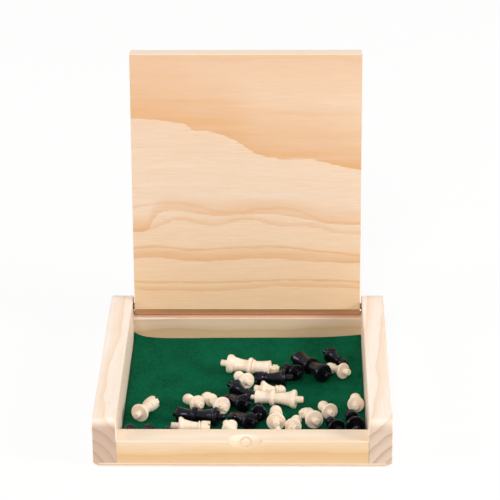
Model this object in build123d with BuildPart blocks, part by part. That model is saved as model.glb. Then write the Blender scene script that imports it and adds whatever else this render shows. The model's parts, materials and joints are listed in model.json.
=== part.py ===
from build123d import *
from math import asin, atan2, cos, radians, sin, sqrt
import os

os.makedirs("parts", exist_ok=True)

# A pocket chess set in pine. Two tall cheeks stand past a low front and rear rail, and the
# lid is a board that swings between the cheeks on a steel pin at each side. Its outer face
# is the chess board, with a peg hole in each square, and the felt-lined tray holds the men.
# The origin is the middle of the underside, +X is to the right and +Y is to the hinge.

# Case
case_width = 140.0
case_depth = 140.0
panel_thickness = 1.8
panel_corner_radius = 4.0
cheek_thickness = 11.2
cheek_height = 22.0
cheek_corner_radius = 4.7
rail_height = 11.7
front_rail_thickness = 12.0
rear_rail_thickness = 9.0
edge_round = 0.6
felt_thickness = 0.8
felt_clearance = 0.3

# Thumb scoop in the front rail, a bite out of a ball
scoop_radius = 11.15
scoop_shift = 1.2
scoop_ahead = 1.66
scoop_above = 7.03

# Lid, which is also the board
lid_thickness = 9.6
lid_side_clearance = 0.9
lid_end_clearance = 0.5
lid_rest_gap = 0.2
lid_edge_round = 0.5
lid_open_angle = 95.7
lid_stop_gap = 0.05
board_rows = 8
board_margin = 3.9
peg_hole_depth = 5.0
peg_clearance = 0.15

# Hinge pins and nails
pin_radius = 1.5
pin_clearance = 0.05
pin_reach = 10.0
pin_end_clearance = 0.3
pin_sink = 0.3
nail_radius = 0.6
nail_length = 20.0
nail_spread = 5.5
tack_length = 9.0
tack_sink = 0.2
tack_spread = 45.0
rail_tack_spread = 70.0

# The tray's room, and the unit that the men are made in. All of them have to fit in the tray,
# so their sizes are counted in 1176ths of its shorter side, tenths of a millimetre here.
tray_half_width = case_width / 2 - cheek_thickness
tray_front = -case_depth / 2 + front_rail_thickness
tray_rear = case_depth / 2 - rear_rail_thickness
tray_middle = (tray_front + tray_rear) / 2
man_unit = min(2 * tray_half_width, tray_rear - tray_front) / 1176

# What all the men share: the peg that fits the board, and the lathe's small curves
peg_radius = 16.5 * man_unit
peg_length = 36 * man_unit
peg_round = 4 * man_unit
foot_round = 4 * man_unit
foot_step = 8 * man_unit
body_hollow = 3 * man_unit
collar_round = 3.5 * man_unit

# Pawn
pawn_foot_radius = 41 * man_unit
pawn_foot_height = 16 * man_unit
pawn_body_radius = 31 * man_unit
pawn_neck_radius = 17 * man_unit
pawn_neck_height = 70 * man_unit
pawn_collar_radius = 25 * man_unit
pawn_collar_height = 10 * man_unit
pawn_head_radius = 26.5 * man_unit
pawn_head_height = 97 * man_unit

# Rook
rook_foot_radius = 45 * man_unit
rook_foot_height = 18 * man_unit
rook_body_radius = 35 * man_unit
rook_neck_radius = 25 * man_unit
rook_neck_height = 94 * man_unit
rook_collar_radius = 32 * man_unit
rook_collar_height = 9 * man_unit
rook_tower_radius = 34 * man_unit
rook_tower_step = 10 * man_unit
rook_height = 150 * man_unit
rook_cup_radius = 23 * man_unit
rook_cup_depth = 15 * man_unit
rook_slot_width = 10 * man_unit
rook_slot_depth = 11 * man_unit
rook_slots = 6

# Knight
knight_foot_radius = 45 * man_unit
knight_foot_height = 18 * man_unit
knight_body_radius = 36 * man_unit
knight_neck_radius = 33 * man_unit
knight_neck_height = 42 * man_unit
knight_height = 165 * man_unit
knight_back_reach = 32 * man_unit
knight_back_bulge = 35 * man_unit
knight_poll_height = 153 * man_unit
knight_brow_height = 147 * man_unit
knight_nose_reach = 42 * man_unit
knight_nose_height = 123 * man_unit
knight_lip_height = 105 * man_unit
knight_chin_reach = 26 * man_unit
knight_throat_reach = 12 * man_unit
knight_throat_height = 100 * man_unit
knight_chest_bow = 6 * man_unit
knight_thickness = 46 * man_unit
knight_cheek_height = 117 * man_unit
knight_ear_thickness = 28 * man_unit
knight_nose_thickness = 27 * man_unit
knight_mane_reach = 38 * man_unit
knight_mane_thickness = 16 * man_unit
knight_edge_round = 4.5 * man_unit
knight_jaw_radius = 26.5 * man_unit
knight_jaw_reach = 6 * man_unit
knight_jaw_height = 116 * man_unit
knight_mane_notches = 7
knight_notch_radius = 4 * man_unit
knight_mouth_width = 3.5 * man_unit
knight_mouth_depth = 13 * man_unit
knight_ear_reach = 8 * man_unit
knight_split_width = 11 * man_unit
knight_split_depth = 17 * man_unit
knight_eye_radius = 4.5 * man_unit
knight_eye_reach = 17 * man_unit
knight_eye_height = 131 * man_unit
knight_eye_spread = 42 * man_unit

# Bishop
bishop_foot_radius = 46 * man_unit
bishop_foot_height = 18 * man_unit
bishop_body_radius = 35 * man_unit
bishop_neck_radius = 21 * man_unit
bishop_neck_height = 102 * man_unit
bishop_collar_radius = 33 * man_unit
bishop_collar_height = 13 * man_unit
bishop_waist_radius = 20 * man_unit
bishop_mitre_radius = 29.5 * man_unit
bishop_mitre_height = 146 * man_unit
bishop_tip_radius = 7.5 * man_unit
bishop_tip_height = 182 * man_unit
bishop_ball_radius = 9 * man_unit
bishop_slit_width = 6 * man_unit
bishop_slit_height = 162 * man_unit
bishop_slit_angle = 35.0

# Queen
queen_foot_radius = 47 * man_unit
queen_foot_height = 20 * man_unit
queen_body_radius = 38 * man_unit
queen_neck_radius = 26 * man_unit
queen_neck_height = 106 * man_unit
queen_collar_radius = 41 * man_unit
queen_collar_height = 20 * man_unit
queen_waist_radius = 26 * man_unit
queen_crown_radius = 39 * man_unit
queen_crown_height = 196 * man_unit
queen_knob_radius = 11.5 * man_unit
queen_height = 225 * man_unit

# King
king_foot_radius = 48 * man_unit
king_foot_height = 26 * man_unit
king_body_radius = 38 * man_unit
king_neck_radius = 30 * man_unit
king_neck_height = 106 * man_unit
king_collar_radius = 44 * man_unit
king_collar_height = 18 * man_unit
king_bead_radius = 37 * man_unit
king_bead_height = 14 * man_unit
king_waist_radius = 31 * man_unit
king_crown_radius = 42 * man_unit
king_crown_height = 213 * man_unit
king_dome_height = 9 * man_unit
king_arm_bottom = 223 * man_unit
king_arm_top = 250 * man_unit
king_arm_flare = 6 * man_unit
king_cross_width = 54 * man_unit
king_cross_neck = 22 * man_unit
king_cross_head = 31 * man_unit
king_cross_thickness = 26 * man_unit
king_height = 260 * man_unit

# The men lie loose in the tray. A place is counted in steps of heap_step to the right of
# and behind the tray's middle, and the heading is the way the head points, from +X.
lying_gap = 0.2
heap_step = 5 * man_unit

# Levels that follow from the sizes above
rail_top = panel_thickness + rail_height
felt_top = panel_thickness + felt_thickness

# The hinge axis lies at half the lid's thickness over the rails. The lid's tail reaches
# just so far behind it that its outer rear edge lands on the rear rail at the open angle.
hinge_rise = lid_rest_gap + lid_thickness / 2
open_angle = radians(lid_open_angle)
lid_tail = (hinge_rise - lid_stop_gap + lid_thickness / 2 * cos(open_angle)) / sin(open_angle)
lid_width = 2 * (tray_half_width - lid_side_clearance)
lid_length = case_depth - 2 * lid_end_clearance
board_square = (min(lid_width, lid_length) - 2 * board_margin) / board_rows
peg_hole_radius = peg_radius + peg_clearance
hinge_y = case_depth / 2 - lid_end_clearance - lid_tail
hinge_z = rail_top + hinge_rise
lid_up = (0, -cos(open_angle), sin(open_angle))
lid_outward = (0, sin(open_angle), cos(open_angle))
lid_face = Plane(origin=(0, hinge_y, hinge_z), x_dir=(-1, 0, 0), z_dir=lid_outward)


def across(x, y=0.0, z=0.0):
    """Plane that faces +X at the given place, its own x along +Y and its own y along +Z."""
    return Plane(origin=(x, y, z), x_dir=(0, 1, 0), z_dir=(1, 0, 0))


def finish(piece, name):
    """Names a finished piece and writes it out."""
    piece.part.label = name
    export_step(piece.part, f"parts/{name}.step")


# Nails hold the rails between the cheeks, two at each end of each rail
nail_ends = [
    (side, y, panel_thickness + rail_height / 2 + step * nail_spread / 2)
    for side in (-1, 1)
    for y in (-(case_depth - front_rail_thickness) / 2, (case_depth - rear_rail_thickness) / 2)
    for step in (-1, 1)
]
cheek_middle = (case_width - cheek_thickness) / 2
rail_middles = sorted({y for _, y, _ in nail_ends})
tack_places = [(x, step * tack_spread) for x in (-cheek_middle, cheek_middle) for step in (-1, 0, 1)]
tack_places += [(step * rail_tack_spread / 2, y) for y in rail_middles for step in (-1, 1)]


# The bores of the nails and tacks, open to the outside of the case
with BuildPart() as nail_bores:
    for side, y, z in nail_ends:
        with BuildSketch(across(side * case_width / 2, y, z)):
            Circle(nail_radius)
        extrude(amount=-side * (nail_length + pin_sink))
    with BuildSketch():
        with Locations(*tack_places):
            Circle(nail_radius)
    extrude(amount=tack_sink + tack_length)

# Bottom panel, flush with the case all round, with rounded corners
with BuildPart() as bottom_panel:
    with BuildSketch():
        RectangleRounded(case_width, case_depth, panel_corner_radius)
    extrude(amount=panel_thickness)
    add(nail_bores.part, mode=Mode.SUBTRACT)
finish(bottom_panel, "bottom_panel")

# Felt glued on the panel
with BuildPart() as felt_lining:
    with BuildSketch(Plane.XY.offset(panel_thickness)):
        with Locations((0, tray_middle)):
            Rectangle(2 * (tray_half_width - felt_clearance), tray_rear - tray_front - 2 * felt_clearance)
    extrude(amount=felt_thickness)
finish(felt_lining, "felt_lining")

# Cheeks, rounded at both upper corners and bored for the hinge pins
for side, name in ((-1, "left_cheek"), (1, "right_cheek")):
    with BuildPart() as cheek:
        with BuildSketch(across(side * cheek_middle, 0, panel_thickness)) as outline:
            Rectangle(case_depth, cheek_height, align=(Align.CENTER, Align.MIN))
            fillet(outline.vertices().group_by(Axis.Y)[-1], cheek_corner_radius)
        extrude(amount=cheek_thickness / 2, both=True)
        fillet(cheek.edges().group_by(Axis.Z)[-1], edge_round)
        with BuildSketch(across(side * cheek_middle, hinge_y, hinge_z)):
            Circle(pin_radius)
        extrude(amount=cheek_thickness / 2, both=True, mode=Mode.SUBTRACT)
        add(nail_bores.part, mode=Mode.SUBTRACT)
    finish(cheek, name)

# Front rail, with the thumb scoop over its front edge
with BuildPart() as front_rail:
    with BuildSketch(across(0, -case_depth / 2, panel_thickness)):
        Rectangle(front_rail_thickness, rail_height, align=(Align.MIN, Align.MIN))
    extrude(amount=tray_half_width, both=True)
    fillet(front_rail.edges().filter_by(Axis.X).group_by(Axis.Z)[-1], edge_round)
    with Locations((scoop_shift, -case_depth / 2 - scoop_ahead, rail_top + scoop_above)):
        Sphere(scoop_radius, mode=Mode.SUBTRACT)
    add(nail_bores.part, mode=Mode.SUBTRACT)
finish(front_rail, "front_rail")

# Rear rail, whose top stops the open lid
with BuildPart() as rear_rail:
    with BuildSketch(across(0, case_depth / 2, panel_thickness)):
        Rectangle(rear_rail_thickness, rail_height, align=(Align.MAX, Align.MIN))
    extrude(amount=tray_half_width, both=True)
    fillet(rear_rail.edges().filter_by(Axis.X).group_by(Axis.Z)[-1].sort_by(Axis.Y)[0], edge_round)
    add(nail_bores.part, mode=Mode.SUBTRACT)
finish(rear_rail, "rear_rail")

# Headless nails through the cheeks into the ends of the rails
with BuildPart() as rail_nails:
    for side, y, z in nail_ends:
        with BuildSketch(across(side * (case_width / 2 - pin_sink), y, z)):
            Circle(nail_radius)
        extrude(amount=-side * nail_length)
finish(rail_nails, "rail_nails")

# Headless tacks up through the panel into the cheeks and rails
with BuildPart() as panel_tacks:
    with BuildSketch(Plane.XY.offset(tack_sink)):
        with Locations(*tack_places):
            Circle(nail_radius)
    extrude(amount=tack_length)
finish(panel_tacks, "panel_tacks")

# Hinge pins, driven through the cheeks into the lid's side edges
for side, name in ((-1, "hinge_pin_left"), (1, "hinge_pin_right")):
    with BuildPart() as hinge_pin:
        with BuildSketch(across(side * (case_width / 2 - pin_sink), hinge_y, hinge_z)):
            Circle(pin_radius)
        extrude(amount=-side * (cheek_thickness - pin_sink + lid_side_clearance + pin_reach))
    finish(hinge_pin, name)

# Lid, shown open. Its tail is bevelled on the inner side, to turn clear of the rear rail,
# and the outer face has the board's peg holes.
with BuildPart() as lid_board:
    lid_side = Plane(origin=(-lid_width / 2, hinge_y, hinge_z), x_dir=lid_up, z_dir=(1, 0, 0))
    with BuildSketch(lid_side) as edge_view:
        with Locations((lid_length / 2 - lid_tail, 0)):
            Rectangle(lid_length, lid_thickness)
        inner_tail = (-lid_tail, lid_thickness / 2)
        fillet(edge_view.vertices().sort_by_distance(inner_tail)[1:], lid_edge_round)
        chamfer(edge_view.vertices().sort_by_distance(inner_tail)[0], lid_tail)
    extrude(amount=lid_width)
    chamfer(lid_board.faces().filter_by(Axis.X).edges(), lid_edge_round / 2)
    with BuildSketch(lid_face.offset(lid_thickness / 2)):
        with Locations((0, lid_length / 2 - lid_tail)):
            with GridLocations(board_square, board_square, board_rows, board_rows):
                Circle(peg_hole_radius)
    extrude(amount=-peg_hole_depth, mode=Mode.SUBTRACT)
    for side in (-1, 1):
        with BuildSketch(across(side * lid_width / 2, hinge_y, hinge_z)):
            Circle(pin_radius + pin_clearance)
        extrude(amount=-side * (pin_reach + pin_end_clearance), mode=Mode.SUBTRACT)
finish(lid_board, "lid_board")


def draw_body(foot_radius, foot_height, body_radius, neck_radius, neck_height):
    """Turned outline from the peg's tip on the axis, over the foot and up to the neck."""
    rim = foot_radius - foot_round
    body_bottom = foot_height + foot_step
    waist = ((body_radius + neck_radius) / 2 - body_hollow, (body_bottom + neck_height) / 2)
    Polyline(
        (0, -peg_length),
        (peg_radius - peg_round, -peg_length),
        (peg_radius, -peg_length + peg_round),
        (peg_radius, 0),
        (rim, 0),
    )
    ThreePointArc((rim, 0), (foot_radius, foot_height / 2), (rim, foot_height))
    Line((rim, foot_height), (body_radius, body_bottom))
    ThreePointArc((body_radius, body_bottom), waist, (neck_radius, neck_height))


def draw_ring(lower_radius, bottom, ring_radius, height, upper_radius):
    """Flat-sided ring with a rounded rim, from the radius below it to the one above it."""
    rim = ring_radius - collar_round
    Line((lower_radius, bottom), (rim, bottom))
    ThreePointArc((rim, bottom), (ring_radius, bottom + height / 2), (rim, bottom + height))
    Line((rim, bottom + height), (upper_radius, bottom + height))


def draw_dome(radius, bottom, height):
    """Shallow dome on a round top, part of a ball that is centred on the axis."""
    ball = (radius**2 + height**2) / (2 * height)
    half = asin(radius / ball) / 2
    top = bottom + height
    ThreePointArc((radius, bottom), (ball * sin(half), top - ball * (1 - cos(half))), (0, top))
    Line((0, top), (0, -peg_length))


# Pawn: a ball on a collar
with BuildPart() as pawn:
    with BuildSketch(Plane.XZ):
        with BuildLine():
            shoulder = pawn_neck_height + pawn_collar_height
            seat = sqrt(pawn_head_radius**2 - (pawn_head_height - shoulder) ** 2)
            crown = pawn_head_height + pawn_head_radius
            draw_body(
                pawn_foot_radius, pawn_foot_height, pawn_body_radius, pawn_neck_radius, pawn_neck_height
            )
            draw_ring(pawn_neck_radius, pawn_neck_height, pawn_collar_radius, pawn_collar_height, seat)
            ThreePointArc((seat, shoulder), (pawn_head_radius, pawn_head_height), (0, crown))
            Line((0, crown), (0, -peg_length))
        make_face()
    revolve(axis=Axis.Z)

# Rook: a round tower, cupped at the top, with slots cut through its wall
with BuildPart() as rook:
    with BuildSketch(Plane.XZ):
        with BuildLine():
            shoulder = rook_neck_height + rook_collar_height
            draw_body(
                rook_foot_radius, rook_foot_height, rook_body_radius, rook_neck_radius, rook_neck_height
            )
            draw_ring(
                rook_neck_radius, rook_neck_height, rook_collar_radius, rook_collar_height, rook_neck_radius
            )
            Polyline(
                (rook_neck_radius, shoulder),
                (rook_tower_radius, shoulder + rook_tower_step),
                (rook_tower_radius, rook_height),
                (rook_cup_radius, rook_height),
                (rook_cup_radius, rook_height - rook_cup_depth),
                (0, rook_height - rook_cup_depth),
                (0, -peg_length),
            )
        make_face()
    revolve(axis=Axis.Z)
    with BuildSketch(Plane.XY.offset(rook_height)):
        for turn in range(rook_slots // 2):
            Rectangle(3 * rook_tower_radius, rook_slot_width, rotation=turn * 360 / rook_slots)
    extrude(amount=-rook_slot_depth, mode=Mode.SUBTRACT)

# Bishop: a mitre with a slanted slit and a ball on its tip
with BuildPart() as bishop:
    with BuildSketch(Plane.XZ):
        with BuildLine():
            shoulder = bishop_neck_height + bishop_collar_height
            ball = bishop_tip_height + sqrt(bishop_ball_radius**2 - bishop_tip_radius**2)
            draw_body(
                bishop_foot_radius,
                bishop_foot_height,
                bishop_body_radius,
                bishop_neck_radius,
                bishop_neck_height,
            )
            draw_ring(
                bishop_neck_radius,
                bishop_neck_height,
                bishop_collar_radius,
                bishop_collar_height,
                bishop_waist_radius,
            )
            ThreePointArc(
                (bishop_waist_radius, shoulder),
                (bishop_mitre_radius, bishop_mitre_height),
                (bishop_tip_radius, bishop_tip_height),
            )
            ThreePointArc(
                (bishop_tip_radius, bishop_tip_height),
                (bishop_ball_radius, ball),
                (0, ball + bishop_ball_radius),
            )
            Line((0, ball + bishop_ball_radius), (0, -peg_length))
        make_face()
    revolve(axis=Axis.Z)
    with BuildSketch(Plane.XZ):
        with Locations((bishop_mitre_radius, bishop_slit_height)):
            Rectangle(2 * bishop_mitre_radius, bishop_slit_width, rotation=-bishop_slit_angle)
    extrude(amount=bishop_mitre_radius, both=True, mode=Mode.SUBTRACT)

# Queen: a flared crown with a knob
with BuildPart() as queen:
    with BuildSketch(Plane.XZ):
        with BuildLine():
            shoulder = queen_neck_height + queen_collar_height
            flare_radius = (queen_waist_radius + queen_crown_radius) / 2 - body_hollow
            flare = (flare_radius, (shoulder + queen_crown_height) / 2)
            rim = queen_crown_height + collar_round
            draw_body(
                queen_foot_radius,
                queen_foot_height,
                queen_body_radius,
                queen_neck_radius,
                queen_neck_height,
            )
            draw_ring(
                queen_neck_radius,
                queen_neck_height,
                queen_collar_radius,
                queen_collar_height,
                queen_waist_radius,
            )
            ThreePointArc((queen_waist_radius, shoulder), flare, (queen_crown_radius, queen_crown_height))
            Polyline(
                (queen_crown_radius, queen_crown_height),
                (queen_crown_radius - collar_round, rim),
                (queen_knob_radius, rim),
                (queen_knob_radius, queen_height - collar_round),
            )
            draw_dome(queen_knob_radius, queen_height - collar_round, collar_round)
        make_face()
    revolve(axis=Axis.Z)

# King: a collar and a bead under a taller crown, with a chunky cross
with BuildPart() as king:
    with BuildSketch(Plane.XZ):
        with BuildLine():
            bead = king_neck_height + king_collar_height
            shoulder = bead + king_bead_height
            flare_radius = (king_waist_radius + king_crown_radius) / 2 - body_hollow
            flare = (flare_radius, (shoulder + king_crown_height) / 2)
            draw_body(
                king_foot_radius, king_foot_height, king_body_radius, king_neck_radius, king_neck_height
            )
            draw_ring(
                king_neck_radius,
                king_neck_height,
                king_collar_radius,
                king_collar_height,
                king_waist_radius,
            )
            ThreePointArc(
                (king_waist_radius, bead),
                (king_bead_radius, (bead + shoulder) / 2),
                (king_waist_radius, shoulder),
            )
            ThreePointArc((king_waist_radius, shoulder), flare, (king_crown_radius, king_crown_height))
            draw_dome(king_crown_radius, king_crown_height, king_dome_height)
        make_face()
    revolve(axis=Axis.Z)
    with BuildSketch(Plane.XZ):
        with BuildLine():
            Polyline(
                (0, king_crown_height),
                (king_cross_neck / 2, king_crown_height),
                (king_cross_neck / 2, king_arm_bottom + king_arm_flare),
                (king_cross_width / 2, king_arm_bottom),
                (king_cross_width / 2, king_arm_top),
                (king_cross_neck / 2, king_arm_top - king_arm_flare),
                (king_cross_head / 2, king_height),
                (0, king_height),
            )
            mirror(about=Plane.YZ)
        make_face()
    extrude(amount=king_cross_thickness / 2, both=True)

# Knight: a horse's head on a turned foot. The head is the side view crossed with a front view
# that narrows to the ears and a top view that narrows to the nose and the mane's ridge. Then it
# gets its jaws, the notches of the mane, a split between the ears, a mouth and the eyes.
with BuildPart() as knight:
    neck_middle = (knight_neck_height + knight_poll_height) / 2
    mouth_height = (knight_nose_height + knight_lip_height) / 2 - knight_mouth_width
    with BuildSketch(Plane.XZ):
        with BuildLine():
            back = (-knight_back_reach, knight_neck_height)
            poll = (-knight_ear_reach, knight_poll_height)
            brow = (knight_ear_reach, knight_brow_height)
            nose = (knight_nose_reach, knight_nose_height)
            lip = (knight_nose_reach, knight_lip_height)
            chin = (knight_chin_reach, knight_throat_height)
            throat = (knight_throat_reach, knight_throat_height)
            chest = (knight_back_reach, knight_neck_height)
            mane = ThreePointArc(back, (-knight_back_bulge, neck_middle), poll)
            Polyline(poll, (-knight_ear_reach / 2, knight_height), brow, nose, lip, chin, throat)
            breast = (knight_throat_reach + knight_chest_bow, neck_middle - knight_chest_bow)
            ThreePointArc(throat, breast, chest)
            Line(chest, back)
        make_face()
    extrude(amount=knight_thickness / 2, both=True)
    with BuildSketch(Plane.YZ):
        with BuildLine():
            Polyline(
                (0, knight_neck_height),
                (knight_thickness / 2, knight_neck_height),
                (knight_thickness / 2, knight_cheek_height),
                (knight_ear_thickness / 2, knight_height),
                (0, knight_height),
            )
            mirror(about=Plane.YZ)
        make_face()
    extrude(amount=2 * knight_nose_reach, both=True, mode=Mode.INTERSECT)
    with BuildSketch():
        with BuildLine():
            Polyline(
                (-knight_mane_reach, 0),
                (-knight_mane_reach, knight_mane_thickness / 2),
                (-knight_mane_reach / 2, knight_thickness / 2),
                (knight_throat_reach, knight_thickness / 2),
                (knight_nose_reach, knight_nose_thickness / 2),
                (knight_nose_reach, 0),
            )
            mirror(about=Plane.XZ)
        make_face()
    extrude(amount=knight_height, mode=Mode.INTERSECT)
    fillet(knight.edges(), knight_edge_round)
    with Locations((knight_jaw_reach, 0, knight_jaw_height)):
        Sphere(knight_jaw_radius)
    with BuildSketch(Plane.XZ):
        for notch in range(knight_mane_notches):
            with Locations(mane @ ((notch + 1) / (knight_mane_notches + 1))):
                Circle(knight_notch_radius)
        with Locations((knight_nose_reach, mouth_height)):
            Rectangle(2 * knight_mouth_depth, knight_mouth_width)
    extrude(amount=knight_thickness, both=True, mode=Mode.SUBTRACT)
    with BuildSketch(Plane.YZ):
        with BuildLine():
            Polyline(
                (-knight_split_width / 2, knight_height),
                (0, knight_height - knight_split_depth),
                (knight_split_width / 2, knight_height),
                close=True,
            )
        make_face()
    extrude(amount=knight_nose_reach, both=True, mode=Mode.SUBTRACT)
    with BuildSketch(Plane.XZ):
        with Locations((knight_eye_reach, knight_eye_height)):
            Circle(knight_eye_radius)
    extrude(amount=knight_eye_spread / 2, both=True)
    with BuildSketch(Plane.XZ):
        with BuildLine():
            draw_body(
                knight_foot_radius,
                knight_foot_height,
                knight_body_radius,
                knight_neck_radius,
                knight_neck_height,
            )
            Polyline((knight_neck_radius, knight_neck_height), (0, knight_neck_height), (0, -peg_length))
        make_face()
    revolve(axis=Axis.Z)


# How each man lies: on its foot's rim and on the widest ring of its head, given as that
# ring's height over the foot and its radius. A knight lies on its side, on one jaw.
lies_on = {
    "pawn": (pawn, pawn_foot_radius, pawn_foot_height, pawn_head_height, pawn_head_radius),
    "rook": (rook, rook_foot_radius, rook_foot_height, rook_height, rook_tower_radius),
    "knight": (knight, knight_foot_radius, knight_foot_height, knight_jaw_height, knight_jaw_radius),
    "bishop": (bishop, bishop_foot_radius, bishop_foot_height, bishop_mitre_height, bishop_mitre_radius),
    "queen": (queen, queen_foot_radius, queen_foot_height, queen_crown_height, queen_crown_radius),
    "king": (king, king_foot_radius, king_foot_height, king_crown_height, king_crown_radius),
}


def lying_plane(kind, right, behind, heading):
    """Plane across the foot's underside of a man that lies in the tray, facing its head."""
    _, foot_radius, foot_height, ring_height, ring_radius = lies_on[kind]
    tilt = atan2(foot_radius - ring_radius, ring_height - foot_height / 2)
    turn = radians(heading)
    level = felt_top + lying_gap + foot_radius * cos(tilt) + foot_height / 2 * sin(tilt)
    return Plane(
        origin=(right * heap_step, tray_middle + behind * heap_step, level),
        x_dir=(-sin(turn), cos(turn), 0),
        z_dir=(cos(turn) * cos(tilt), sin(turn) * cos(tilt), -sin(tilt)),
    )


# The heap: name, form, steps to the right, steps behind, heading in degrees
heap = [
    ("white_king", "king", -18, 39, -12),
    ("white_queen", "queen", 50, -37, 169),
    ("white_bishop_1", "bishop", 31, -84, 91),
    ("white_bishop_2", "bishop", -21, -52, 122),
    ("white_knight_1", "knight", 68, -79, 108),
    ("white_knight_2", "knight", 36, -109, 180),
    ("white_rook_1", "rook", -101, -66, 66),
    ("white_rook_2", "rook", -62, -91, 0),
    ("white_pawn_1", "pawn", 2, 3, 117),
    ("white_pawn_2", "pawn", 16, -13, 8),
    ("white_pawn_3", "pawn", 98, 25, 135),
    ("white_pawn_4", "pawn", 108, -46, 90),
    ("white_pawn_5", "pawn", 83, -61, 110),
    ("white_pawn_6", "pawn", 47, -91, 80),
    ("white_pawn_7", "pawn", -45, -45, 123),
    ("white_pawn_8", "pawn", -14, -90, -60),
    ("black_king", "king", 78, 17, 125),
    ("black_queen", "queen", -25, -73, 168),
    ("black_bishop_1", "bishop", 107, -91, 98),
    ("black_bishop_2", "bishop", -74, -109, 0),
    ("black_knight_1", "knight", 0, -46, 130),
    ("black_knight_2", "knight", 7, -83, 130),
    ("black_rook_1", "rook", 40, 9, 173),
    ("black_rook_2", "rook", 109, -109, 180),
    ("black_pawn_1", "pawn", 51, 21, 120),
    ("black_pawn_2", "pawn", 84, 63, -48),
    ("black_pawn_3", "pawn", -11, -8, -38),
    ("black_pawn_4", "pawn", 14, -65, 91),
    ("black_pawn_5", "pawn", 89, -93, 107),
    ("black_pawn_6", "pawn", 70, -110, 180),
    ("black_pawn_7", "pawn", -108, -110, 90),
    ("black_pawn_8", "pawn", -91, -110, 90),
]

for name, kind, right, behind, heading in heap:
    with BuildPart(lying_plane(kind, right, behind, heading)) as man:
        add(lies_on[kind][0].part)
    finish(man, name)
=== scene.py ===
import json
from math import cos, exp, hypot, radians, sin

import bmesh
import bpy
from mathutils import Matrix, Vector, noise


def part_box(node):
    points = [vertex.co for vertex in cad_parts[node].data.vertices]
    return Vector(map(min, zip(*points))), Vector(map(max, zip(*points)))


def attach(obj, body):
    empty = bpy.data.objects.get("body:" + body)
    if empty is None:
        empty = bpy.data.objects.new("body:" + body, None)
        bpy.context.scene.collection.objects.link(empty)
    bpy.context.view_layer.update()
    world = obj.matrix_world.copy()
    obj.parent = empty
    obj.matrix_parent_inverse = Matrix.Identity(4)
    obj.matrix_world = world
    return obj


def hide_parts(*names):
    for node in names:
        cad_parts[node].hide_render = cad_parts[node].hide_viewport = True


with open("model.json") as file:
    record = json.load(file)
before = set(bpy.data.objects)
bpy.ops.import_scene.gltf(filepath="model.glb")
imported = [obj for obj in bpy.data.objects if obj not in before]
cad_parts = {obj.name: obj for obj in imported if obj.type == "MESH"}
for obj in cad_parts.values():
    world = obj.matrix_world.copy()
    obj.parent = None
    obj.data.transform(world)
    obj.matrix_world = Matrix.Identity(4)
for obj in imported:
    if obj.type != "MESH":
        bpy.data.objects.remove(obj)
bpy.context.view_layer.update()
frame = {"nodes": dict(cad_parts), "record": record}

# The view
# The set is seen from a little over a metre in front, a touch to the right of its middle, and
# from 24 degrees above, through a long lens that keeps its sides almost parallel.
camera = bpy.data.objects.new("camera", bpy.data.cameras.new("camera"))
bpy.context.collection.objects.link(camera)
bpy.context.scene.camera = camera
camera.data.lens = 171.2
camera.data.sensor_width = 36.0
# Its place in metres, then its turn, its tilt up from straight down and its roll
camera.matrix_world = (
    Matrix.Translation((0.023476, -1.041454, 0.548400))
    @ Matrix.Rotation(radians(1.134), 4, "Z")
    @ Matrix.Rotation(radians(65.764), 4, "X")
    @ Matrix.Rotation(radians(-0.43), 4, "Z")
)
bpy.context.scene.view_settings.view_transform = "Standard"

# The white table and the studio light
# A matt white sheet under the set, a broad soft light over the front and a weaker one at each
# side. The sheet and the air round it show as plain white, and the sheet keeps a faint shadow. It
# is cut out under the set, so that the bottom panel can be seen from below.


def linear(colour):
    """Turns an sRGB hex colour into the linear numbers that a shader takes."""
    parts = [int(colour[i : i + 2], 16) / 255 for i in (1, 3, 5)]
    return tuple(c / 12.92 if c <= 0.04045 else ((c + 0.055) / 1.055) ** 2.4 for c in parts) + (1.0,)


def add_node(tree, kind, *values, stops=(), **named):
    """Adds a node with its settings and links.

    The values feed the inputs that it shows, in order. A named value feeds the input of that
    name, with _ for a blank, or is a setting where the name is in small letters. A value is a
    number, a vector, a colour, the output of a node, or a node, which gives its first output. The
    stops of a ramp are pairs of a place from 0 to 1 and a level of grey."""
    node = tree.nodes.new("ShaderNode" + kind)
    for name in [name for name in named if name.islower()]:
        setattr(node, name, named.pop(name))
    if stops:
        elements = node.color_ramp.elements
        while len(elements) < len(stops):
            elements.new(1.0)
        for element, (place, level) in zip(elements, stops):
            element.position = place
            element.color = (level, level, level, 1.0)
    sockets = [socket for socket in node.inputs if socket.enabled][: len(values)]
    sockets += [node.inputs[name.replace("_", " ")] for name in named]
    for socket, value in zip(sockets, (*values, *named.values())):
        if isinstance(value, bpy.types.Node):
            value = next(output for output in value.outputs if output.enabled)
        if isinstance(value, bpy.types.NodeSocket):
            tree.links.new(value, socket)
        else:
            socket.default_value = value
    return node


def seen_directly(tree):
    """1 for what the camera sees straight, in a gloss or through glass, and 0 for the light."""
    path = add_node(tree, "LightPath").outputs
    seen = add_node(tree, "Math", path["Is Camera Ray"], path["Is Glossy Ray"], operation="MAXIMUM")
    return add_node(tree, "Math", seen, path["Is Transmission Ray"], operation="MAXIMUM")


studio = bpy.data.worlds.new("white studio")
bpy.context.scene.world = studio
studio.use_nodes = True
studio.node_tree.nodes.clear()
air = add_node(studio.node_tree, "Background", Color=linear("#ffffff"), Strength=0.45)
white_air = add_node(studio.node_tree, "Background", Color=linear("#ffffff"), Strength=1.0)
both = add_node(studio.node_tree, "MixShader", seen_directly(studio.node_tree), air, white_air)
add_node(studio.node_tree, "OutputWorld", Surface=both)

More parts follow.
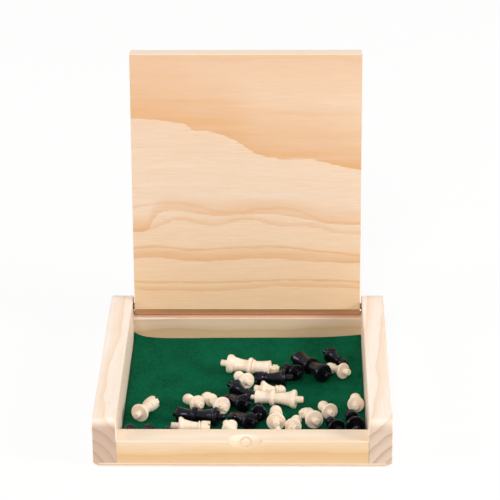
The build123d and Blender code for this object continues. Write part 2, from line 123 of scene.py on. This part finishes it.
# The share by which the paper shows as plain white, and not as it is lit, sets how faint the
# shadow is
PLAIN_WHITE = 0.90
paper = bpy.data.materials.new("matt white table paper")
paper.use_nodes = True
paper.node_tree.nodes.clear()
matt = add_node(paper.node_tree, "BsdfDiffuse", Color=linear("#f4f2ef"), Roughness=0.6)
glow = add_node(paper.node_tree, "Emission", Color=linear("#ffffff"), Strength=1.0)
seen = seen_directly(paper.node_tree)
share = add_node(paper.node_tree, "Math", seen, PLAIN_WHITE, operation="MULTIPLY")
both = add_node(paper.node_tree, "MixShader", share, matt, glow)
add_node(paper.node_tree, "OutputMaterial", Surface=both)

# Metres from the middle to the sheet's sides and to those of the cut-out, which end 3 mm inside
# the case's outline, and how far the sheet lies under the panel
SHEET_REACH = 2.5
CUT_OUT_REACH = 0.067
SHEET_DROP = 0.0001
sheet_mesh = bmesh.new()
outer, cut_out = [], []
for x, y in ((-1, -1), (1, -1), (1, 1), (-1, 1)):
    outer.append(sheet_mesh.verts.new((x * SHEET_REACH, y * SHEET_REACH, -SHEET_DROP)))
    cut_out.append(sheet_mesh.verts.new((x * CUT_OUT_REACH, y * CUT_OUT_REACH, -SHEET_DROP)))
for i in range(4):
    sheet_mesh.faces.new([outer[i - 1], outer[i], cut_out[i], cut_out[i - 1]])
table = bpy.data.objects.new("table_sheet", bpy.data.meshes.new("table_sheet"))
sheet_mesh.to_mesh(table.data)
sheet_mesh.free()
table.data.materials.append(paper)
bpy.context.collection.objects.link(table)

# Each lamp's place and width in metres and its power in watts. All point just over the tray.
AIM = Vector((0, 0, 0.03))
for name, place, size, power in (
    ("soft light over the front", (-0.25, -1.80, 1.60), 0.6, 16.0),
    ("soft light at the right", (1.10, -0.35, 0.55), 0.5, 9.0),
    ("soft light at the left", (-1.10, -0.25, 0.55), 0.5, 5.0),
):
    lamp = bpy.data.objects.new(name, bpy.data.lights.new(name, "AREA"))
    lamp.data.shape = "DISK"
    lamp.data.size = size
    lamp.data.energy = power
    lamp.location = place
    lamp.rotation_euler = (AIM - lamp.location).to_track_quat("-Z", "Y").to_euler()
    bpy.context.collection.objects.link(lamp)

# Bottom panel
# A square of thin pine plywood, sawn flush with the case all round and rounded at the corners.
# Its edge shows the three veneers, the middle one end on and darker.


def new_material(name):
    """Empty node tree of a new material, and the piece's own place in metres and its normal."""
    material = bpy.data.materials.new(name)
    material.use_nodes = True
    material.node_tree.nodes.clear()
    own = add_node(material.node_tree, "TexCoord").outputs
    return material, material.node_tree, own["Object"], own["Normal"]


def lay_over(tree, colour, tone, mask, share=1.0):
    """Lays a tone over a colour where a mask from 0 to 1 says, and only by a share of it."""
    amount = add_node(tree, "Math", mask, share, operation="MULTIPLY")
    return add_node(tree, "Mix", amount, colour, tone, data_type="RGBA")


def dress(node_name, material):
    """Gives a carried-over solid its material."""
    node = frame["nodes"][node_name]
    node.data.materials.clear()
    node.data.materials.append(material)


def fine_grain(tree, place):
    """Streaks of the wood's fibres, along X of a place in mm: thin ones and a few broad ones.

    Real fibres are some 0.04 mm wide. The thin streaks are up to 0.7 mm, so that they show."""
    thin = add_node(tree, "VectorMath", place, (0.08, 1.5, 1.5), operation="MULTIPLY")
    thin = add_node(tree, "TexNoise", thin, Scale=1.0, Detail=5.0, Roughness=0.66)
    thin = add_node(tree, "ValToRGB", thin, stops=((0.32, 0.0), (0.68, 1.0)))
    broad = add_node(tree, "VectorMath", place, (0.012, 0.22, 0.22), operation="MULTIPLY")
    broad = add_node(tree, "TexNoise", broad, Scale=1.0, Detail=3.0, Roughness=0.55)
    broad = add_node(tree, "ValToRGB", broad, stops=((0.3, 0.0), (0.7, 1.0)))
    return thin, broad


def resin_ducts(tree, place):
    """Sparse dark dashes along the grain, 2.5 mm long, drawn 0.4 mm wide so that they show."""
    cells = add_node(tree, "VectorMath", place, (0.12, 0.75, 0.75), operation="MULTIPLY")
    cells = add_node(tree, "TexVoronoi", cells, Scale=1.0, Randomness=1.0).outputs
    dash = add_node(tree, "ValToRGB", cells["Distance"], stops=((0.1, 1.0), (0.2, 0.0)))
    chosen = add_node(tree, "SeparateColor", cells["Color"])
    chosen = add_node(tree, "ValToRGB", chosen, stops=((0.93, 0.0), (0.95, 1.0)))
    return add_node(tree, "Math", dash, chosen, operation="MULTIPLY")


def wood_surface(material, tree, colour, thin, ends):
    """Sanded and clear-waxed pine: soft satin, its fibres just felt, duller where cut across."""
    rough = add_node(tree, "MapRange", thin, To_Min=0.42, To_Max=0.52)
    rough = add_node(tree, "Math", ends, 0.16, rough, operation="MULTIPLY_ADD")
    relief = add_node(tree, "Bump", Strength=0.22, Distance=0.00006, Height=thin)
    shader = add_node(
        tree,
        "BsdfPrincipled",
        Base_Color=colour,
        Roughness=rough,
        IOR=1.5,
        Specular_IOR_Level=0.5,
        Normal=relief,
    )
    add_node(tree, "OutputMaterial", Surface=shader)
    return material


# Sanded veneer is pale and nearly even, with fine streaks, and the core's cut fibres make a
# browner line in the edge. The glue lines are in mm over the panel's underside.
GLUE_LINES_MM = (0.6, 1.2)
material, tree, own, normal = new_material("pine plywood, sanded")
mm = add_node(tree, "Mapping", own, Scale=(0.001, 0.001, 0.001), vector_type="TEXTURE")
thin, broad = fine_grain(tree, mm)
height = add_node(tree, "SeparateXYZ", mm).outputs["Z"]
above = add_node(tree, "Math", height, GLUE_LINES_MM[0], operation="GREATER_THAN")
below = add_node(tree, "Math", height, GLUE_LINES_MM[1], operation="LESS_THAN")
core = add_node(tree, "Math", above, below, operation="MULTIPLY")
facing = add_node(tree, "SeparateXYZ", normal).outputs["Z"]
facing = add_node(tree, "Math", facing, operation="ABSOLUTE")
sides = add_node(tree, "ValToRGB", facing, stops=((0.3, 1.0), (0.7, 0.0)))
veneer = lay_over(tree, linear("#f6e6da"), linear("#efdbc8"), broad)
veneer = lay_over(tree, veneer, linear("#e8cdb2"), thin, 0.5)
veneer = lay_over(tree, veneer, linear("#dcbfa2"), core, sides)
dress("bottom_panel", wood_surface(material, tree, veneer, thin, sides))

# Cheeks
# The two tall side boards of planed pine, their front and rear upper corners rounded over with
# a router. The wide growth rings run almost along them and come out as slanted lines at the ends.


def rings(tree, place, width):
    """Growth rings round the X axis of a place in mm: 0 in the early wood, 1 at the dark edge.

    Also the distance from that axis, the tree's heart."""
    bend = add_node(tree, "VectorMath", place, (0.016, 0.05, 0.05), operation="MULTIPLY")
    bend = add_node(tree, "TexNoise", bend, Scale=1.0, Detail=3.0, Roughness=0.5)
    widest_bend_mm = 7.0
    radius = add_node(tree, "VectorMath", place, (0.0, 1.0, 1.0), operation="MULTIPLY")
    radius = add_node(tree, "VectorMath", radius, operation="LENGTH")
    radius = add_node(tree, "Math", bend, widest_bend_mm, radius, operation="MULTIPLY_ADD")
    count = add_node(tree, "Math", radius, width, operation="DIVIDE")
    year = add_node(tree, "Math", count, operation="FLOOR")
    year = add_node(tree, "TexWhiteNoise", W=year, noise_dimensions="1D").outputs["Value"]
    strength = add_node(tree, "MapRange", year, To_Min=0.45, To_Max=1.0)
    season = add_node(tree, "Math", count, operation="FRACT")
    shades = ((0.0, 0.25), (0.06, 0.0), (0.45, 0.08), (0.8, 0.55), (0.965, 1.0), (1.0, 0.25))
    edge = add_node(tree, "ValToRGB", season, stops=shades)
    return add_node(tree, "Math", edge, strength, operation="MULTIPLY"), radius


def planed_pine(name, heart, turn, ring_width, colours, sapwood_and_highlight=(0.0, 0.0), knot=None):
    """Pine planed smooth, so that its rings show as bands on its sides and lines on its ends.

    Its grain runs along X turned by some degrees, and its heart is at a place in mm. The colours
    are those of the sapwood, the heartwood, the rings' dark edges and the ends. From the one
    distance of sapwood to the other, in mm from the heart, the heartwood fades into it; where a
    top face lies in the pale sapwood, that paleness is partly a painted highlight for the light
    from above. A knot is the place in mm where a thin branch came out, and the branch's radius."""
    pale, amber, dark, end = (linear(colour) for colour in colours)
    material, tree, own, normal = new_material(name)
    mm = add_node(
        tree,
        "Mapping",
        own,
        Location=[c / 1000 for c in heart],
        Rotation=(0.0, 0.0, radians(turn)),
        Scale=(0.001, 0.001, 0.001),
        vector_type="TEXTURE",
    )
    thin, broad = fine_grain(tree, mm)
    late, radius = rings(tree, mm, ring_width)
    # The 0.01 mm keeps the fade from having no width where all is sapwood
    fade_end = sapwood_and_highlight[1] + 0.01
    inner = add_node(
        tree, "MapRange", radius, From_Min=sapwood_and_highlight[0], From_Max=fade_end, To_Min=1.0, To_Max=0.0
    )
    colour = lay_over(tree, pale, amber, inner)
    colour = lay_over(tree, colour, dark, late)
    colour = lay_over(tree, colour, dark, broad, 0.22)
    colour = lay_over(tree, colour, linear("#d9a878"), thin, 0.16)
    colour = lay_over(tree, colour, linear("#b98358"), resin_ducts(tree, mm), 0.2)
    # Cut across, the wood is a colour of its own, with duller rings and with pores, which are
    # drawn 0.3 mm across so that they show
    grain = (cos(radians(turn)), sin(radians(turn)), 0.0)
    facing = add_node(tree, "VectorMath", normal, grain, operation="DOT_PRODUCT")
    facing = add_node(tree, "Math", facing, operation="ABSOLUTE")
    ends = add_node(tree, "ValToRGB", facing, stops=((0.55, 0.0), (0.95, 1.0)))
    pores = add_node(tree, "TexNoise", mm, Scale=3.2, Detail=3.0, Roughness=0.7)
    pores = add_node(tree, "ValToRGB", pores, stops=((0.45, 0.0), (0.75, 0.45)))
    cut = lay_over(tree, end, linear("#c39d80"), late)
    cut = lay_over(tree, cut, linear("#c6a58c"), pores)
    colour = lay_over(tree, colour, cut, ends)
    if knot:
        # A ring of bark, out of round and patchy, about a core that keeps the wood's colour
        place, branch = [c / 1000 for c in knot[0]], knot[1]
        uneven = add_node(tree, "TexNoise", mm, Scale=0.3, Detail=2.0)
        beside = add_node(tree, "VectorMath", own, place, operation="DISTANCE")
        beside = add_node(tree, "Math", beside, 1000.0, operation="MULTIPLY")
        beside = add_node(tree, "Math", uneven, 2.2, beside, operation="MULTIPLY_ADD")
        beside = add_node(tree, "Math", beside, 2.0 * branch, operation="DIVIDE")
        shades = ((0.42, 0.0), (0.52, 0.12), (0.60, 1.0), (0.66, 0.8), (0.76, 0.0))
        bark = add_node(tree, "ValToRGB", beside, stops=shades)
        patches = add_node(tree, "ValToRGB", uneven, stops=((0.4, 0.25), (0.6, 1.0)))
        colour = lay_over(tree, colour, linear("#d9b08c"), bark, patches)
    return wood_surface(material, tree, colour, thin, ends)


left_pine = ("#fff4e9", "#fff4e9", "#f3d6b4", "#d4b8a5")
left_wood = planed_pine(
    "planed pine, left cheek", heart=(-88.0, 0.0, -20.0), turn=88.0, ring_width=5.4, colours=left_pine
)
dress("left_cheek", left_wood)
right_pine = ("#fff4e9", "#fff4e9", "#f3d4b2", "#e2cdba")
right_wood = planed_pine(
    "planed pine, right cheek", heart=(94.0, 0.0, -15.0), turn=85.4, ring_width=5.2, colours=right_pine
)
dress("right_cheek", right_wood)

# Rails
# The low front and rear rails, cut from the same pine, glued and nailed between the cheeks. The
# front one is amber heartwood below and pale sapwood above, where the cutter that made the
# thumb scoop has laid open the oval of a pin knot. On both rails the pale sapwood lies on the
# top, where its paleness is partly a painted highlight for the light from above.
thumb_knot = ((1.5, -66.1, 10.9), 2.9)
# Painted highlight: the front rail's top lies in its pale sapwood, partly standing in for the light on
# it
front_pine = ("#fff3e2", "#f0d1a6", "#e5bb88", "#dcb899")
front_wood = planed_pine(
    "planed pine, front rail",
    heart=(0.0, -96.0, -38.5),
    turn=1.2,
    ring_width=18.75,
    colours=front_pine,
    sapwood_and_highlight=(57.0, 64.7),
    knot=thumb_knot,
)
dress("front_rail", front_wood)
# Painted highlight: the rear rail's top lies in its pale sapwood, partly standing in for the light on
# it
rear_pine = ("#fff0e4", "#e8c8a2", "#dfb68b", "#dcb899")
rear_wood = planed_pine(
    "planed pine, rear rail",
    heart=(0.0, 96.0, -34.0),
    turn=-0.8,
    ring_width=5.2,
    colours=rear_pine,
    sapwood_and_highlight=(57.5, 64.0),
)
dress("rear_rail", rear_wood)

# Nails and tacks
# Thin headless nails through the cheeks into the rails' ends and tacks up through the panel.
# Only their cut-off ends show, flush with the wood, plain steel wire gone slightly dull.


def wire_steel(name, colour, roughness):
    """Drawn and cut steel wire: bright, with scratches of 0.1 by 0.4 mm that spread the glint."""
    material, tree, own, _ = new_material(name)
    scratches = add_node(tree, "VectorMath", own, (9000.0, 2500.0, 9000.0), operation="MULTIPLY")
    scratches = add_node(tree, "TexNoise", scratches, Scale=1.0, Detail=3.0, Roughness=0.6)
    worn = add_node(tree, "ValToRGB", scratches, stops=((0.4, 0.0), (0.7, 1.0)))
    shade = lay_over(tree, linear(colour), linear("#8d8a86"), worn, 0.4)
    rough = add_node(tree, "MapRange", worn, To_Min=roughness, To_Max=roughness + 0.12)
    relief = add_node(tree, "Bump", Strength=0.15, Distance=0.00004, Height=scratches)
    shader = add_node(
        tree, "BsdfPrincipled", Base_Color=shade, Metallic=1.0, Roughness=rough, Normal=relief
    )
    add_node(tree, "OutputMaterial", Surface=shader)
    return material


nail_steel = wire_steel("drawn steel wire, dulled", "#b4b0aa", roughness=0.34)
dress("rail_nails", nail_steel)
dress("panel_tacks", nail_steel)

# Felt lining
# A square of pressed green wool felt glued to the panel. It was cut a little by eye, so its edges
# wander and its rear corners curl up against the rail, and pale lint clings to it.
FELT_LOW, FELT_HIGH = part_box("felt_lining")

# In metres: its thickness and how much of that is over the glue, how far its cut edges fall and
# wander, and the depth, place and width of a dent in the rear one; then its cells along a side
FELT_THICKNESS = 0.00085
FELT_BODY = 0.96 * FELT_THICKNESS
EDGE_ROUND = 0.00022
EDGE_WANDER = 0.00022
DENT_DEPTH = 0.0007
DENT_PLACE = -0.035
DENT_WIDTH = 0.016
FELT_CELLS = 118


def felt_height(x, y):
    """Level of the felt's face over the panel, with its faint swells and curled rear corners."""
    swell = 0.00005 * noise.noise(Vector((x * 45, y * 45, 0.3)))
    rear = FELT_HIGH.y - y
    left = x - FELT_LOW.x
    right = FELT_HIGH.x - x
    left_curl = 0.0034 * exp(-hypot(left, rear * 1.8) / 0.0036)
    right_curl = 0.0019 * exp(-hypot(right, rear * 3.0) / 0.0130)
    return FELT_THICKNESS + swell + left_curl + right_curl


# The underside and then the face, each as rows of points from front to rear
felt_mesh = bmesh.new()
layers = []
for drop, edge_drop in ((FELT_BODY, 0.0), (0.0, EDGE_ROUND)):
    layer = []
    for j in range(FELT_CELLS + 1):
        line = []
        for i in range(FELT_CELLS + 1):
            x = FELT_LOW.x + (FELT_HIGH.x - FELT_LOW.x) * i / FELT_CELLS
            y = FELT_LOW.y + (FELT_HIGH.y - FELT_LOW.y) * j / FELT_CELLS
            z = FELT_LOW.z + felt_height(x, y) - drop
            if min(i, j, FELT_CELLS - i, FELT_CELLS - j) == 0:
                z -= edge_drop
            if j in (0, FELT_CELLS):
                y += EDGE_WANDER * noise.noise(Vector((x * 70, 3.1, 0.0)))
            if j == FELT_CELLS:
                y -= DENT_DEPTH * exp(-(((x - DENT_PLACE) / DENT_WIDTH) ** 2))
            line.append(felt_mesh.verts.new((x, y, z)))
        layer.append(line)
    layers.append(layer)
under, face = layers
for j in range(FELT_CELLS):
    for i in range(FELT_CELLS):
        felt_mesh.faces.new([under[j + 1][i], under[j + 1][i + 1], under[j][i + 1], under[j][i]])
        felt_mesh.faces.new([face[j][i], face[j][i + 1], face[j + 1][i + 1], face[j + 1][i]])
steps = range(FELT_CELLS)
rim = [(0, i) for i in steps] + [(j, FELT_CELLS) for j in steps]
rim += [(FELT_CELLS, FELT_CELLS - i) for i in steps] + [(FELT_CELLS - j, 0) for j in steps]
for (j, i), (m, n) in zip(rim, rim[1:] + rim[:1]):
    felt_mesh.faces.new([under[j][i], under[m][n], face[m][n], face[j][i]])
felt = bpy.data.objects.new("felt_sheet", bpy.data.meshes.new("felt_sheet"))
felt_mesh.to_mesh(felt.data)
felt_mesh.free()
for polygon in felt.data.polygons:
    polygon.use_smooth = True
bpy.context.collection.objects.link(felt)

# Pressed wool: no weave, a matt deep green of fibres tangled every way, with a soft sheen at low
# angles. Real tufts are about 0.2 mm across, and are drawn at up to 1 mm so that they show. So
# are the thin fibres of the lint, as specks of 0.3 mm.
material, tree, own, _ = new_material("pressed wool felt, bottle green")
mm = add_node(tree, "Mapping", own, Scale=(0.001, 0.001, 0.001), vector_type="TEXTURE")
tangle = add_node(tree, "TexNoise", mm, Scale=1.0, Detail=6.0, Roughness=0.75, Distortion=1.2)
tufts = add_node(tree, "ValToRGB", tangle, stops=((0.38, 0.0), (0.62, 1.0)))
green = lay_over(tree, linear("#012e1d"), linear("#086846"), tufts)
nap = add_node(tree, "TexNoise", mm, Scale=0.07, Detail=3.0, Roughness=0.6)
nap = add_node(tree, "ValToRGB", nap, stops=((0.35, 0.0), (0.7, 0.6)))
green = lay_over(tree, green, linear("#076848"), nap)
lint = add_node(tree, "TexVoronoi", mm, Scale=0.34, Randomness=1.0).outputs
fluff = add_node(tree, "ValToRGB", lint["Distance"], stops=((0.03, 1.0), (0.075, 0.0)))
chosen = add_node(tree, "SeparateColor", lint["Color"])
chosen = add_node(tree, "ValToRGB", chosen, stops=((0.7, 0.0), (0.9, 0.55)))
green = lay_over(tree, green, linear("#a9c3ab"), fluff, chosen)
relief = add_node(tree, "Bump", Strength=0.5, Distance=0.00025, Height=tangle)
shader = add_node(
    tree,
    "BsdfPrincipled",
    Base_Color=green,
    Roughness=0.95,
    Specular_IOR_Level=0.05,
    Sheen_Weight=0.03,
    Sheen_Roughness=0.5,
    Sheen_Tint=linear("#4f9a74"),
    Normal=relief,
)
add_node(tree, "OutputMaterial", Surface=shader)
felt.data.materials.append(material)
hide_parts("felt_lining")
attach(felt, "case")

# Hinge pins
# Two steel pins, driven through the cheeks into the side edges of the lid, on which it swings.
# Their round ends show in the cheeks' outer faces.
# Painted shade: the pins' steel is darker than bare steel, standing in for the shade in the narrow gap
# beside the lid, where a pin shows
pin_steel_with_painted_shade = wire_steel("drawn steel rod, cut end, darkened as painted shade", "#8f8a84", roughness=0.42)
dress("hinge_pin_left", pin_steel_with_painted_shade)
dress("hinge_pin_right", pin_steel_with_painted_shade)

# Lid
# One board of flat-sawn pine, its grain from cheek to cheek. Inside it shows wide amber bands
# with a sharp lower edge, and its outer face is the board, every second square stained brown.
joints = frame["record"]["behaviour"]["joints"]
hinge = next(joint["pos_m"] for joint in joints if joint["name"] == "lid_hinge")

# How far the open lid leans back, its sizes and its reach past the hinge
LEAN_DEGREES = 5.7
LID_THICKNESS_MM = 9.6
LID_LENGTH_MM = 139.0
LID_TAIL_MM = 4.4955

# The board's squares, how deep their stain goes in, and the lines between them, which are some
# 0.2 mm wide and are drawn wider so that they show
BOARD_SQUARES = 8
SQUARE_MM = 13.5
STAIN_DEPTH_MM = 0.12
SCRIBE_WIDTH_MM = 0.5

# Lower edges of the darker bands on the inner face: how far each fades out above its edge in mm,
# its depth of colour, and its run as mm from the left end and mm over the hinge. The field that
# they are drawn in is a little wider and higher than the board.
FIELD_WIDTH_MM = 116.0
FIELD_HEIGHT_MM = 140.0
bands = (
    (3.0, 0.62, ((0, 10.9), (35, 9.9), (48, 10.4), (63, 11.9), (75, 12.4), (116, 11.4))),
    (1.6, 0.75, ((0, 14.7), (40, 14.2), (70, 15.2), (90, 15.6), (116, 14.3))),
    (7.0, 0.82, ((0, 27.3), (12, 28.0), (31, 26.1), (58, 27.3), (75, 27.3), (99, 25.2), (116, 25.2))),
    (1.8, 0.78, ((0, 32.7), (14, 33.2), (32, 31.8), (58, 33.2), (75, 33.4), (92, 31.3), (116, 29.0))),
    (3.0, 0.52, (
        (0, 41.4), (10, 43.5), (25, 48.2), (34, 46.3), (43, 45.6), (59, 48.4), (75, 44.9), (92, 44.5),
        (106, 40.9), (116, 40.7),
    )),
    (9.0, 0.70, (
        (0, 42.1), (8, 43.5), (11, 49.1), (16, 52.9), (25, 52.9), (43, 50.3), (64, 51.5), (85, 49.4),
        (97, 46.8), (116, 45.4),
    )),
    (1.6, 0.5, (
        (0, 54.7), (26, 56.6), (44, 52.4), (53, 51.6), (64, 53.3), (82, 53.4), (97, 47.3), (116, 45.9),
    )),
    (34.0, 0.95, (
        (0, 101.7), (15, 100.6), (28, 98.1), (32, 95.5), (39, 94.9), (54, 89.4), (61, 84.3), (66, 82.0),
        (75, 80.7), (92, 79.9), (104, 76.9), (116, 74.4),
    )),
    (5.0, 0.16, ((0, 112.0), (40, 108.5), (60, 104.9), (116, 102.6))),
    (6.0, 0.2, ((0, 133.0), (50, 131.0), (80, 132.5), (116, 130.0))),
)

# The board's own frame in mm: along it, through it to the outer face, and up it from the hinge
material, tree, own, normal = new_material("flat-sawn pine, lid")
lean = radians(LEAN_DEGREES)
mm = add_node(
    tree,
    "Mapping",
    own,
    Location=-(Matrix.Rotation(lean, 3, "X") @ Vector(hinge)) * 1000,
    Rotation=(lean, 0.0, 0.0),
    Scale=(1000.0, 1000.0, 1000.0),
)
along, through, up = add_node(tree, "SeparateXYZ", mm).outputs
thin, broad = fine_grain(tree, mm)

# The rings slant through the board, so the figure is nearer the hinge on the outer face. Its
# lines are a little ragged, as the fibres are.
depth = add_node(tree, "Math", through, LID_THICKNESS_MM / 2, operation="ADD")
level = add_node(tree, "Math", depth, 1.1, up, operation="MULTIPLY_ADD")
ripple = add_node(tree, "VectorMath", mm, (0.09, 0.25, 0.25), operation="MULTIPLY")
ripple = add_node(tree, "TexNoise", ripple, Scale=1.0, Detail=7.0, Roughness=0.62)
for unevenness, height_mm in ((ripple, 1.6), (thin, 0.9)):
    unevenness = add_node(tree, "Math", unevenness, 0.5, operation="SUBTRACT")
    level = add_node(tree, "Math", unevenness, height_mm, level, operation="MULTIPLY_ADD")
run = add_node(tree, "Math", along, FIELD_WIDTH_MM / 2, operation="ADD")
run = add_node(tree, "Math", run, FIELD_WIDTH_MM, operation="DIVIDE")
rise = add_node(tree, "Math", up, FIELD_HEIGHT_MM, operation="DIVIDE")

# The wood between the bands is pale, and more amber towards the free edge and the foot
colour = lay_over(tree, linear("#f2dac3"), linear("#f0d3b5"), broad)
upper = add_node(tree, "ValToRGB", rise, stops=((0.55, 0.0), (0.8, 0.4), (0.95, 0.9)))
colour = lay_over(tree, colour, linear("#e8c19f"), upper)
lower = add_node(tree, "ValToRGB", rise, stops=((0.05, 1.0), (0.42, 0.0)))
colour = lay_over(tree, colour, linear("#f6d1a8"), lower)
streaks = add_node(tree, "ValToRGB", broad, stops=((0.0, 0.62), (1.0, 1.0)))
for fade, strength, points in bands:
    curve = add_node(tree, "FloatCurve", Value=run)
    line = curve.mapping.curves[0]
    while len(line.points) < len(points):
        line.points.new(0.5, 0.5)
    for point, (x, z) in zip(line.points, points):
        point.location = (x / FIELD_WIDTH_MM, z / FIELD_HEIGHT_MM)
    curve.mapping.update()
    # Counted from 1 mm under the edge, the shade starts at 0.7 mm, is full at 1.15 mm and then
    # fades until the end of the span
    span = fade + 1.0
    above = add_node(tree, "Math", curve, -FIELD_HEIGHT_MM, level, operation="MULTIPLY_ADD")
    above = add_node(tree, "Math", above, 1.0, operation="ADD")
    above = add_node(tree, "Math", above, span, operation="DIVIDE")
    knee = (0.35 * fade + 1.0) / span
    shades = ((0.7 / span, 0.0), (1.15 / span, 1.0), (knee, 0.72), (1.0, 0.0))
    shade = add_node(tree, "ValToRGB", above, stops=shades)
    shade = add_node(tree, "Math", shade, strength, operation="MULTIPLY")
    colour = lay_over(tree, colour, linear("#e2a86d"), shade, streaks)
colour = lay_over(tree, colour, linear("#d9a77a"), thin, 0.27)
colour = lay_over(tree, colour, linear("#bd8658"), resin_ducts(tree, mm), 0.22)

# The board on the outer face: squares marked off by a scribed line, every second one stained
# before the peg holes were drilled, so that the holes are bare wood inside
column = add_node(tree, "Math", along, SQUARE_MM, operation="DIVIDE")
row = add_node(tree, "Math", up, LID_LENGTH_MM / 2 - LID_TAIL_MM, operation="SUBTRACT")
row = add_node(tree, "Math", row, SQUARE_MM, operation="DIVIDE")
numbers, from_middle, from_line = [], [], []
for count in (column, row):
    numbers.append(add_node(tree, "Math", count, operation="FLOOR"))
    from_middle.append(add_node(tree, "Math", count, operation="ABSOLUTE"))
    nearest = add_node(tree, "Math", count, operation="ROUND")
    past = add_node(tree, "Math", count, nearest, operation="SUBTRACT")
    from_line.append(add_node(tree, "Math", past, operation="ABSOLUTE"))
reach = add_node(tree, "Math", *from_middle, operation="MAXIMUM")
stain_level = LID_THICKNESS_MM / 2 - STAIN_DEPTH_MM
outer_face = add_node(tree, "Math", through, stain_level, operation="GREATER_THAN")

squares = add_node(tree, "Math", *numbers, operation="ADD")
squares = add_node(tree, "Math", squares, 2.0, operation="FLOORED_MODULO")
inside = add_node(tree, "Math", reach, BOARD_SQUARES / 2, operation="LESS_THAN")
squares = add_node(tree, "Math", squares, inside, operation="MULTIPLY")
squares = add_node(tree, "Math", squares, outer_face, operation="MULTIPLY")
fibres = add_node(tree, "ValToRGB", thin, stops=((0.1, 0.0), (0.9, 1.0)))
stain = lay_over(tree, linear("#6d3f20"), linear("#8b5a31"), fibres)
colour = lay_over(tree, colour, stain, squares, 0.9)

half_scribe = SCRIBE_WIDTH_MM / 2 / SQUARE_MM
scribe = add_node(tree, "Math", *from_line, operation="MINIMUM")
scribe = add_node(tree, "Math", scribe, half_scribe, operation="LESS_THAN")
inside = add_node(tree, "Math", reach, BOARD_SQUARES / 2 + half_scribe, operation="LESS_THAN")
scribe = add_node(tree, "Math", scribe, inside, operation="MULTIPLY")
scribe = add_node(tree, "Math", scribe, outer_face, operation="MULTIPLY")
colour = lay_over(tree, colour, linear("#5a341c"), scribe, 0.75)

# The sawn free edge is paler, a painted highlight for the light from above on it, and the bevel
# at the foot is a redder brown, painted shade for the shaded gap at the lid's foot. The ends, cut
# across the grain, are darker
facing = add_node(tree, "SeparateXYZ", normal).outputs
free_edge_highlight = add_node(tree, "ValToRGB", facing["Z"], stops=((0.55, 0.0), (0.85, 1.0)))
colour = lay_over(tree, colour, linear("#fee8d0"), free_edge_highlight)
# Painted shade: the downward bevel at the foot gets a redder brown for the shade in the gap there
bevel_shade = add_node(tree, "Math", facing["Z"], -1.0, operation="MULTIPLY")
bevel_shade = add_node(tree, "ValToRGB", bevel_shade, stops=((0.45, 0.0), (0.6, 1.0)))
colour = lay_over(tree, colour, linear("#e8a978"), bevel_shade, 0.7)
ends = add_node(tree, "Math", facing["X"], operation="ABSOLUTE")
ends = add_node(tree, "ValToRGB", ends, stops=((0.55, 0.0), (0.95, 1.0)))
colour = lay_over(tree, colour, linear("#cf9f74"), ends, 0.5)
dress("lid_board", wood_surface(material, tree, colour, thin, ends))

# The men
# Thirty-two small men moulded in plastic, each with a peg for the board's holes: sixteen in
# cream and sixteen in black, tumbled together in the tray.


def moulded_plastic(name, colour, shade, roughness, relief_mm, **body):
    """Glossy moulded styrene: a smooth skin with the slight waves that moulding leaves.

    The body is what else the shader is given: how deep light goes and how the gloss looks."""
    material, tree, own, _ = new_material(name)
    mm = add_node(tree, "Mapping", own, Scale=(0.001, 0.001, 0.001), vector_type="TEXTURE")
    cloud = add_node(tree, "TexNoise", mm, Scale=0.25, Detail=3.0, Roughness=0.6)
    cloud = add_node(tree, "ValToRGB", cloud, stops=((0.35, 0.0), (0.7, 1.0)))
    tint = lay_over(tree, linear(colour), linear(shade), cloud)
    skin = add_node(tree, "TexNoise", mm, Scale=1.1, Detail=2.0, Roughness=0.5)
    rough = add_node(tree, "MapRange", skin, To_Min=roughness, To_Max=roughness + 0.1)
    relief = add_node(tree, "Bump", Strength=0.3, Distance=relief_mm / 1000, Height=skin)
    shader = add_node(
        tree, "BsdfPrincipled", Base_Color=tint, Roughness=rough, IOR=1.5, Normal=relief, **body
    )
    add_node(tree, "OutputMaterial", Surface=shader)
    return material


# Cream: light goes a little way in and warms the thin parts, and the gloss is soft
cream = moulded_plastic(
    "moulded styrene, cream",
    colour="#fcecd8",
    shade="#f6ddc2",
    roughness=0.3,
    relief_mm=0.15,
    Specular_IOR_Level=0.4,
    Subsurface_Weight=0.25,
    Subsurface_Radius=(1.0, 0.6, 0.3),
    Subsurface_Scale=0.0006,
)
# Black: no light goes in, and the gloss is sharp and slightly cool
black = moulded_plastic(
    "moulded styrene, black",
    colour="#0c0b0e",
    shade="#121115",
    roughness=0.06,
    relief_mm=0.2,
    Specular_IOR_Level=0.32,
    Specular_Tint=linear("#c3c9e6"),
)

for name in frame["nodes"]:
    if name.startswith("white_"):
        dress(name, cream)
    elif name.startswith("black_"):
        dress(name, black)
